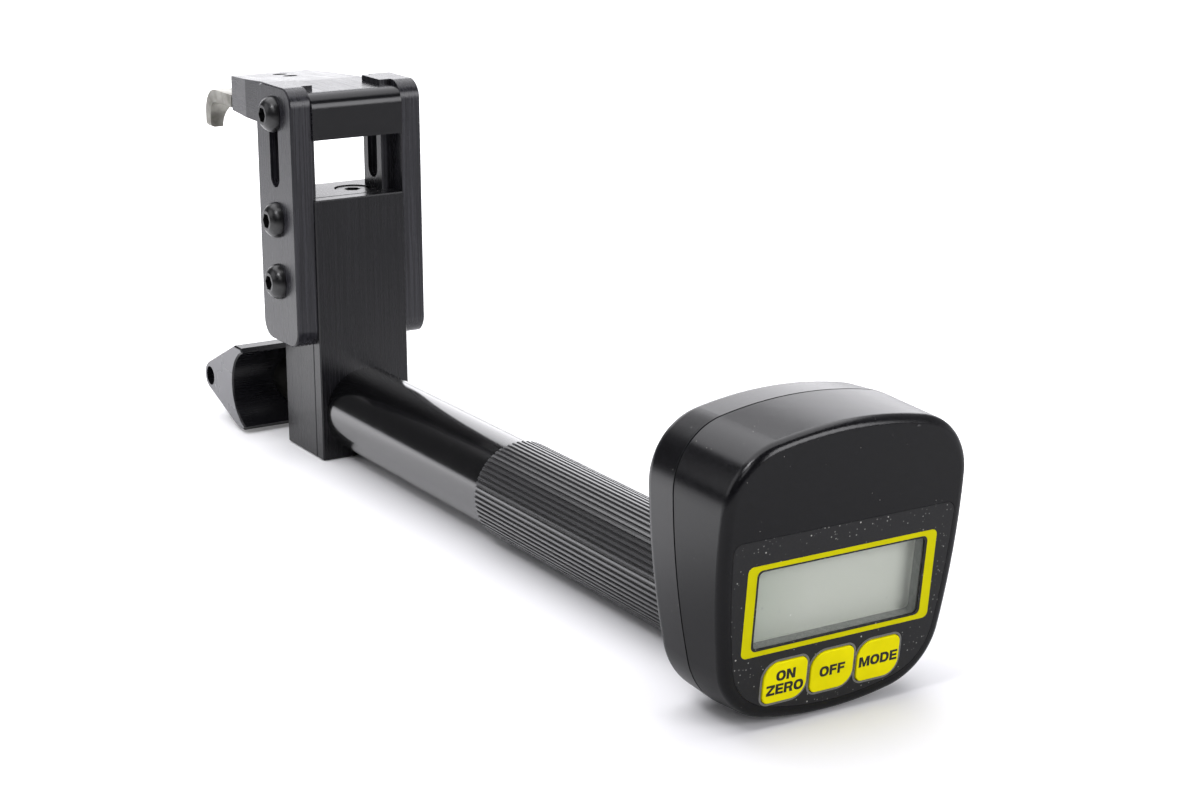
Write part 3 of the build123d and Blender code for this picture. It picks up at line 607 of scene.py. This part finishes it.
def circuitBoard():
    # green mask over a grid of tracks
    mat, tree, shader = newMaterial("circuit board")
    tracks = addNode(tree, "ShaderNodeTexBrick")
    setInputs(tree, tracks, board["tracks"])
    setInputs(tree, tracks, {"Vector": objectCoords(tree, board["stretch"])})
    dress(tree, shader, ramp(tree, tracks.outputs["Fac"], board["stops"]), board["roughness"])
    return mat


# small parts and prints with one even grain

mouldedGrain = {"grain": (800.0, 3.0), "bump": (0.15, 0.00003)}

grainyLooks = {
    "black oxide steel": {
        "dark": (0.003, 0.003, 0.0035),
        "light": (0.009, 0.009, 0.0095),
        "roughness": (0.25, 0.33),
        "grain": (900.0, 3.0),
        "bump": (0.05, 0.00001),
    },
    "letter ink": {
        "dark": (0.004, 0.004, 0.002),
        "light": (0.012, 0.012, 0.006),
        "roughness": (0.45, 0.6),
        "grain": (1600.0, 2.0),
    },
    # painted shade: the near black of the groove between the shells
    "seam painted shade": {
        "dark": (0.0006, 0.0006, 0.0007),
        "light": (0.0016, 0.0016, 0.0018),
        "roughness": (0.8, 0.95),
        "grain": (1200.0, 2.0),
        "sockets": {"Specular IOR Level": 0.05},
    },
    "key surround": {
        "dark": (0.14, 0.14, 0.13),
        "light": (0.20, 0.20, 0.18),
        "roughness": (0.4, 0.55),
        "grain": (1500.0, 2.0),
    },
    "switch plastic": {
        "dark": (0.010, 0.010, 0.010),
        "light": (0.022, 0.022, 0.022),
        "roughness": (0.35, 0.5),
        **mouldedGrain,
    },
    "battery case": {
        "dark": (0.03, 0.03, 0.035),
        "light": (0.06, 0.06, 0.065),
        "roughness": (0.25, 0.4),
        **mouldedGrain,
    },
    "lead jacket": {
        "dark": (0.012, 0.012, 0.012),
        "light": (0.03, 0.03, 0.03),
        "roughness": (0.4, 0.55),
        **mouldedGrain,
    },
    # painted shade: the grey of the shaded rim round the display
    "window rim painted shade": {
        "dark": (0.16, 0.17, 0.155),
        "light": (0.26, 0.27, 0.25),
        "roughness": (0.4, 0.55),
        **mouldedGrain,
    },
}


def grainy(name):
    mat, tree, shader = newMaterial(name)
    look = {"span": (0.3, 0.8), **grainyLooks[name]}
    grain = noise(tree, objectCoords(tree), *look["grain"])
    relief = bump(tree, grain, *look["bump"]) if "bump" in look else None
    roughness = spread(tree, grain, *look["roughness"])
    dress(tree, shader, shade(tree, grain, look), roughness, relief, look.get("sockets"))
    return mat


anodisedBlock = blackAnodised("black anodised")
anodisedPlate = blackAnodised("black anodised plate")
anodisedArm = blackAnodised("black anodised arm")
anodisedFoot = blackAnodised("black anodised foot")
blackOxide = grainy("black oxide steel")
groundSteel = bareSteel("ground steel")
clawSteel = bareSteel("bare claw steel")
shadedRodSteel = bareSteel("rod steel painted shade")
plasticBlack = housingPlastic()
switchBlack = grainy("switch plastic")
keyYellow = yellowPrint("key yellow")
borderYellow = yellowPrint("border yellow")
inkBlack = grainy("letter ink")

finishes = {
    "load_block": anodisedBlock,
    "front_cover": anodisedBlock,
    "side_plate_left": anodisedPlate,
    "side_plate_right": anodisedPlate,
    "crosshead": anodisedArm,
    "foot": anodisedFoot,
    "foot_stem": shadedRodSteel,
    "head_plug": anodisedBlock,
    "tail_plug": anodisedBlock,
    "claw": clawSteel,
    "plate_screws": blackOxide,
    "clamp_screws": blackOxide,
    "claw_screws": blackOxide,
    "cover_screws": blackOxide,
    "stem_screw": blackOxide,
    "shell_screws": blackOxide,
    "block_plug": blackOxide,
    "tail_nut": blackOxide,
    "stem_ring": groundSteel,
    "load_cell": groundSteel,
    "board_screws": groundSteel,
    "stem_bush": bearingBronze(),
    "handle_tube": glossBlack(),
    "grip": gripRubber(),
    "rear_shell": plasticBlack,
    "front_shell": plasticBlack,
    "battery_door": plasticBlack,
    "overlay_panel": panelFilm(),
    "window_lens": clearWindow(),
    "lcd_module": displayGlass(),
    "key_zero": keyYellow,
    "key_off": keyYellow,
    "key_mode": keyYellow,
    "key_switches": switchBlack,
    "battery_clip": switchBlack,
    "circuit_board": circuitBoard(),
    "battery": grainy("battery case"),
    "signal_lead": grainy("lead jacket"),
}

for name, mat in finishes.items():
    nodes[name].data.materials.clear()
    nodes[name].data.materials.append(mat)
print("materials assigned:", len(finishes))


# printed face: border, key surrounds, lettering

def roundedLoop(width, height, corners, steps=8):
    # corner radii from the lower left, anticlockwise
    points = []
    quarter = math.pi / 2
    for index, radius in enumerate(corners):
        sideX = -1 if index in (0, 3) else 1
        sideY = -1 if index in (0, 1) else 1
        centre = Vector((sideX * (width / 2 - radius), sideY * (height / 2 - radius)))
        start = math.pi + index * quarter
        for step in range(steps + 1):
            angle = start + quarter * step / steps
            points.append(centre + radius * Vector((math.cos(angle), math.sin(angle))))
    return points


def newPiece(name, mesh, material):
    mesh.materials.append(material)
    piece = bpy.data.objects.new(name, mesh)
    bpy.context.scene.collection.objects.link(piece)
    return piece


def workedMesh(name, work):
    mesh = bpy.data.meshes.new(name)
    work.to_mesh(mesh)
    work.free()
    return mesh


def flatRing(name, outer, inner, thickness, lift, place, material, body):
    # band on the face between two loops with the same number of points
    work = bmesh.new()
    tops = [[work.verts.new((p.x, p.y, lift + thickness)) for p in loop] for loop in (outer, inner)]
    lows = [[work.verts.new((p.x, p.y, lift)) for p in loop] for loop in (outer, inner)]
    count = len(outer)
    for i in range(count):
        j = (i + 1) % count
        work.faces.new((tops[0][i], tops[0][j], tops[1][j], tops[1][i]))
        work.faces.new((lows[0][j], lows[0][i], lows[1][i], lows[1][j]))
        work.faces.new((tops[0][j], tops[0][i], lows[0][i], lows[0][j]))
        work.faces.new((tops[1][i], tops[1][j], lows[1][j], lows[1][i]))
    ring = newPiece(name, workedMesh(name, work), material)
    ring.matrix_world = faceMatrix @ Matrix.Translation((place[0], place[1], 0))
    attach(ring, body)
    return ring


border = {
    "outer": (56.4 * mm, 24.3 * mm),
    "inner": (51.0 * mm, 21.7 * mm),  # a dark line of film is left round the window
    "corner": 1.6 * mm,
    "thickness": 0.05 * mm,
    "lift": 0.005 * mm,
}


def windowBorder():
    outer = roundedLoop(*border["outer"], [border["corner"]] * 4)
    inner = roundedLoop(*border["inner"], [border["corner"]] * 4)
    sizes = (border["thickness"], border["lift"])
    ring = flatRing("window_border", outer, inner, *sizes, (0, 0), borderYellow, "frame")


keys = {
    "size": (12.9 * mm, 10.8 * mm),
    "corners": [2.0 * mm, 4.4 * mm, 2.0 * mm, 4.4 * mm],  # from the lower left, anticlockwise
    "pitch": 14.1 * mm,
    "middle": -0.4 * mm,  # the middle key, across the face
    "row": -20.5 * mm,  # from the window's middle
    "proud": 0.5 * mm,
    "clearance": 0.2 * mm,
    "surround": 0.75 * mm,
    "surroundThickness": 0.04 * mm,
    "surroundLift": 0.004 * mm,
    "words": {"key_zero": ("ON", "ZERO"), "key_off": ("OFF",), "key_mode": ("MODE",)},
    "lineStep": 3.6 * mm,
}


def keyPlaces():
    return [keys["middle"] + step * keys["pitch"] for step in (-1, 0, 1)]


def grownKey(grow):
    width, height = keys["size"]
    return roundedLoop(width + 2 * grow, height + 2 * grow, [c + grow for c in keys["corners"]])


def keySurrounds():
    surroundPrint = grainy("key surround")
    inner, outer = grownKey(keys["clearance"]), grownKey(keys["surround"])
    sizes = (keys["surroundThickness"], keys["surroundLift"])
    for name, across in zip(keys["words"], keyPlaces()):
        place = (across, keys["row"])
        ring = flatRing(name + "_surround", outer, inner, *sizes, place, surroundPrint, "frame")


letters = {
    "height": 2.8 * mm,
    "halfThickness": 0.012 * mm,
    "lift": 0.014 * mm,  # from the key to the middle of that thickness
    "stem": 0.285,  # the rest in cap heights
    "bar": 0.225,
    "gap": 0.085,
    "widths": {"O": 1.0, "N": 0.94, "Z": 0.9, "E": 0.82, "R": 0.94, "F": 0.78, "M": 1.16, "D": 0.97},
}


def bowl(left, right, low, high, radius, steps=6):
    # straight at the left, rounded at the right
    points = [(left, low)]
    middle = right - radius
    for centre, start in ((low + radius, -90), (high - radius, 0)):
        for step in range(steps + 1):
            angle = math.radians(start + 90 * step / steps)
            points.append((middle + radius * math.cos(angle), centre + radius * math.sin(angle)))
    return points + [(left, high)]


def ringLoop(left, right, low, high, radius):
    middle = ((left + right) / 2, (low + high) / 2)
    loop = roundedLoop(right - left, high - low, [radius] * 4, 6)
    return [(p.x + middle[0], p.y + middle[1]) for p in loop]


def letterLoops(letter):
    # outlines of one letter, cap height 1, starting at x = 0
    w, t, h = letters["widths"][letter], letters["stem"], letters["bar"]
    if letter == "O":
        return [ringLoop(0, w, 0, 1, 0.42), ringLoop(t, w - t, h, 1 - h, 0.23)]
    if letter == "D":
        return [bowl(0, w, 0, 1, 0.44), bowl(t, w - t, h, 1 - h, 0.26)]
    if letter == "N":
        cut = 1.12 * t
        left = [(0, 0), (t, 0), (t, 0.6), (w - cut, 0)]
        right = [(w, 0), (w, 1), (w - t, 1), (w - t, 0.4), (cut, 1), (0, 1)]
        return [left + right]
    if letter == "Z":
        cut = 0.4 * w
        foot = [(0, 0), (w, 0), (w, h), (cut, h)]
        head = [(w, 1 - h), (w, 1), (0, 1), (0, 1 - h)]
        return [foot + head + [(w - cut, 1 - h), (0, h)]]
    if letter == "M":
        half, foot, head = w / 2, 0.4 * t, 1.2 * t
        right = [(half + foot, 0), (w - t, 0.64), (w - t, 0), (w, 0), (w, 1), (w - head, 1)]
        left = [(head, 1), (0, 1), (0, 0), (t, 0), (t, 0.64), (half - foot, 0)]
        return [right + [(half, 0.38)] + left]
    if letter == "R":
        leg = [(w - 1.2 * t, 0), (w, 0), (0.86 * w, 0.4)]
        top = bowl(0, w - 0.02, 0.35, 1, 0.3)[1:]
        outer = [(0, 0), (t, 0), (t, 0.35), (0.58 * w, 0.35)] + leg + top[5:]
        return [outer, bowl(t, w - t, 0.35 + 0.9 * h, 1 - h, 0.12, 3)]
    middle, reach = 0.5, 0.93 * w  # E and F
    arms = [(t, middle - h / 2), (reach, middle - h / 2), (reach, middle + h / 2), (t, middle + h / 2)]
    top = [(t, 1 - h), (w, 1 - h), (w, 1), (0, 1)]
    if letter == "F":
        return [[(0, 0), (t, 0)] + arms + top]
    return [[(0, 0), (w, 0), (w, h), (t, h)] + arms + top]


def lettering(name, text, place, lift, body):
    # bold wide word drawn as filled outlines, printed on the key
    size = letters["height"]
    widths = [letters["widths"][letter] for letter in text]
    total = sum(widths) + letters["gap"] * (len(text) - 1)
    curve = bpy.data.curves.new(name, "CURVE")
    curve.dimensions = "2D"
    curve.fill_mode = "BOTH"
    curve.extrude = letters["halfThickness"]
    start = -total / 2
    for letter, width in zip(text, widths):
        for loop in letterLoops(letter):
            spline = curve.splines.new("POLY")
            spline.points.add(len(loop) - 1)
            spline.use_cyclic_u = True
            for point, (x, y) in zip(spline.points, loop):
                point.co = ((start + x) * size, (y - 0.5) * size, 0, 1)
        start += width + letters["gap"]
    outline = bpy.data.objects.new(name, curve)
    bpy.context.scene.collection.objects.link(outline)
    bpy.context.view_layer.update()
    mesh = bpy.data.meshes.new_from_object(outline)
    bpy.data.objects.remove(outline)
    word = newPiece(name, mesh, inkBlack)
    word.matrix_world = faceMatrix @ Matrix.Translation((place[0], place[1], lift))
    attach(word, body)


def keyWords():
    lift = keys["proud"] + letters["lift"]
    for (name, lines), across in zip(keys["words"].items(), keyPlaces()):
        top = (len(lines) - 1) / 2 * keys["lineStep"]
        for index, text in enumerate(lines):
            place = (across, keys["row"] + top - index * keys["lineStep"])
            lettering(f"{name}_word_{index + 1}", text, place, lift, name)


liner = {
    "outer": (51.4 * mm, 22.4 * mm),
    "inner": (50.9 * mm, 21.9 * mm),
    "corner": 1.3 * mm,
    "front": -1.55 * mm,  # just behind the window
    "back": -4.42 * mm,  # on the display
}


def windowShadeLiner():
    # grey strip inside the window's rim, seen at a slant: painted shade of the display's recessed edge
    outer = roundedLoop(*liner["outer"], [liner["corner"]] * 4)
    inner = roundedLoop(*liner["inner"], [liner["corner"]] * 4)
    sizes = (liner["front"] - liner["back"], liner["back"])
    ring = flatRing("window_shade_liner", outer, inner, *sizes, (0, 0), grainy("window rim painted shade"), "frame")


seam = {
    "height": 0.74 * mm,  # the groove between the shells is 0.8 deep
    "half": 0.195 * mm,  # half the strip's width
    "centre": 40 * mm,  # up the plane, a point inside the shells
    "slack": 0.02 * mm,  # the shell's points this close to the plane are on it
}


def seamShadeStrip():
    # black strip in the groove as painted shade, drawn after the shell's own outline on the seam plane
    middle = seamOut * seamReach + seamUp * seam["centre"]
    points = [v.co for v in nodes["rear_shell"].data.vertices]
    onPlane = [p for p in points if abs(p.dot(seamOut) - seamReach) < seam["slack"]]
    flat = [Vector((p.y, (p - middle).dot(seamUp))) for p in onPlane]
    loop = [flat[i] for i in geometry.convex_hull_2d(flat)]
    count = len(loop)
    outer = []
    for i in range(count):
        along = loop[(i + 1) % count] - loop[i - 1]
        out = Vector((along.y, -along.x)).normalized()
        outer.append(loop[i] + seam["height"] * (out if out.dot(loop[i]) > 0 else -out))
    work = bmesh.new()
    rings = []
    for ring, side in ((loop, -1), (outer, -1), (outer, 1), (loop, 1)):
        shift = middle + seamOut * side * seam["half"]
        rings.append([work.verts.new(shift + Vector((0, p.x, 0)) + seamUp * p.y) for p in ring])
    for first, second in zip(rings, rings[1:] + rings[:1]):
        for i in range(count):
            j = (i + 1) % count
            work.faces.new((first[i], first[j], second[j], second[i]))
    bmesh.ops.recalc_face_normals(work, faces=work.faces)
    strip = newPiece("seam_shade_strip", workedMesh("seam_shade_strip", work), grainy("seam painted shade"))
    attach(strip, "frame")
    print("seam shade strip:", count, "steps")


windowBorder()
windowShadeLiner()
seamShadeStrip()
keySurrounds()
keyWords()
print("face printed")


# floor, light and world

ground = {
    "size": 40.0,
    "drop": 0.2 * mm,  # keeps it clear of the tool's lowest faces
    "colour": (0.88, 0.88, 0.89),
    "roughness": 0.9,
    "dim": (0.42, 0.42, 0.425),  # what the tool itself sees of the floor in front of it
    "dimBand": (0.03, 0.13),  # along the tool, from bright to dim
    "lift": 0.6,  # white added away from the tool, for the camera and for reflections
    "liftBand": (0.03, 0.15),  # distances from the tool, from none of it to all
    "liftSlope": 0.28,  # the white starts nearer the tool at its head than at its display
    "fade": (0.12, 0.75),  # reflections lose that white again between these distances
    "frontShare": 0.3,  # of that white, in reflections of the floor in front of the tool
    "toolReach": 0.18,  # half the tool's length
}


def addFloor():
    work = bmesh.new()
    half = ground["size"] / 2
    corners = ((-1, -1), (1, -1), (1, 1), (-1, 1))
    work.faces.new([work.verts.new((x * half, y * half, -ground["drop"])) for x, y in corners])
    mat, tree, shader = newMaterial("pale floor")
    paths = addNode(tree, "ShaderNodeLightPath").outputs
    place = coordinates(tree)
    lengthwise = splitAxes(tree, place)["X"]
    ahead = remap(tree, lengthwise, *ground["dimBand"], smooth=True)
    unseen = mixColour(tree, ahead, ground["colour"], ground["dim"])
    colour = mixColour(tree, paths["Is Camera Ray"], unseen, ground["colour"])
    reach = ground["toolReach"]
    along = remap(tree, lengthwise, -reach, reach, -reach, reach)
    nearest = addNode(tree, "ShaderNodeCombineXYZ")  # nearest point of the tool's length
    tree.links.new(along, nearest.inputs["X"])
    distance = computeVector(tree, "DISTANCE", place, nearest.outputs["Vector"])
    sloped = compute(tree, "MULTIPLY", along, ground["liftSlope"])
    leaned = compute(tree, "SUBTRACT", distance, sloped)
    white = remap(tree, leaned, *ground["liftBand"], 0.0, ground["lift"])
    faded = remap(tree, distance, *ground["fade"], 1.0, 0.0)
    faded = compute(tree, "MULTIPLY", faded, spread(tree, ahead, 1.0, ground["frontShare"]))
    whole = compute(tree, "MAXIMUM", faded, paths["Is Camera Ray"])  # the camera sees no fading
    seen = compute(tree, "MAXIMUM", paths["Is Camera Ray"], paths["Is Glossy Ray"])
    seen = compute(tree, "MAXIMUM", seen, paths["Is Transmission Ray"])
    strength = compute(tree, "MULTIPLY", seen, compute(tree, "MULTIPLY", white, whole))
    glow = {"Emission Color": (1, 1, 1, 1), "Emission Strength": strength}
    dress(tree, shader, colour, ground["roughness"], None, glow)
    floor = newPiece("floor", workedMesh("floor", work), mat)


lamps = {
    "overhead softbox": {"size": (1.8, 2.0), "place": (-0.35, 0.08, 1.35), "power": 29.0},
    "softbox behind": {"size": (1.7, 0.7), "place": (-1.15, 0.70, 0.42), "power": 7.0},
    "left softbox": {"size": (1.2, 1.0), "place": (-0.6, -1.4, 0.8), "power": 5.4},
    "small key": {"size": (0.3, 0.3), "place": (0.36, -0.76, 1.15), "power": 5.0},
    "front softbox": {"size": (0.5, 0.5), "place": (1.0, -0.9, 1.0), "power": 2.0},
    "right softbox": {"size": (0.8, 0.8), "place": (1.4, 0.6, 0.6), "power": 14.0},
}

lampColour = (0.975, 0.97, 1.0)
lampTarget = Vector((0, 0, 0.04))


def addLamp(name, settings):
    data = bpy.data.lights.new(name, "AREA")
    data.shape = "RECTANGLE"
    data.size, data.size_y = settings["size"]
    data.energy = settings["power"]
    data.color = lampColour
    lamp = bpy.data.objects.new(name, data)
    lamp.location = settings["place"]
    aim = lampTarget - Vector(settings["place"])
    lamp.rotation_euler = aim.to_track_quat("-Z", "Y").to_euler()
    bpy.context.scene.collection.objects.link(lamp)


room = {
    "horizon": (0.95, 0.95, 0.98),
    "sky": (0.36, 0.36, 0.375),
    "skyStart": 0.16,  # sine of the elevation where the pale horizon has faded
    "brightSide": (-0.5, 0.866, 0.0),  # where the white backdrop rises
    "brightShare": (0.08, 0.6),  # cosines from the darkest to the full brightness
    "unlit": (0.07, 0.07, 0.074),  # the rest of the room
}


def setWorld():
    # pale at the horizon behind the tool, greyer above it, dark in the rest of the room
    world = bpy.data.worlds.new("studio")
    world.use_nodes = True
    tree = world.node_tree
    direction = coordinates(tree, "Generated")
    height = splitAxes(tree, direction)["Z"]
    colour = ramp(tree, height, [(0.0, room["horizon"]), (room["skyStart"], room["sky"])])
    towards = computeVector(tree, "DOT_PRODUCT", direction, room["brightSide"])
    side = remap(tree, towards, *room["brightShare"], smooth=True)
    colour = mixColour(tree, side, room["unlit"], colour)
    tree.links.new(colour, tree.nodes["Background"].inputs["Color"])
    bpy.context.scene.world = world


addFloor()
for name, settings in lamps.items():
    addLamp(name, settings)
setWorld()
bpy.context.scene.view_settings.view_transform = "Standard"
print("studio lit")
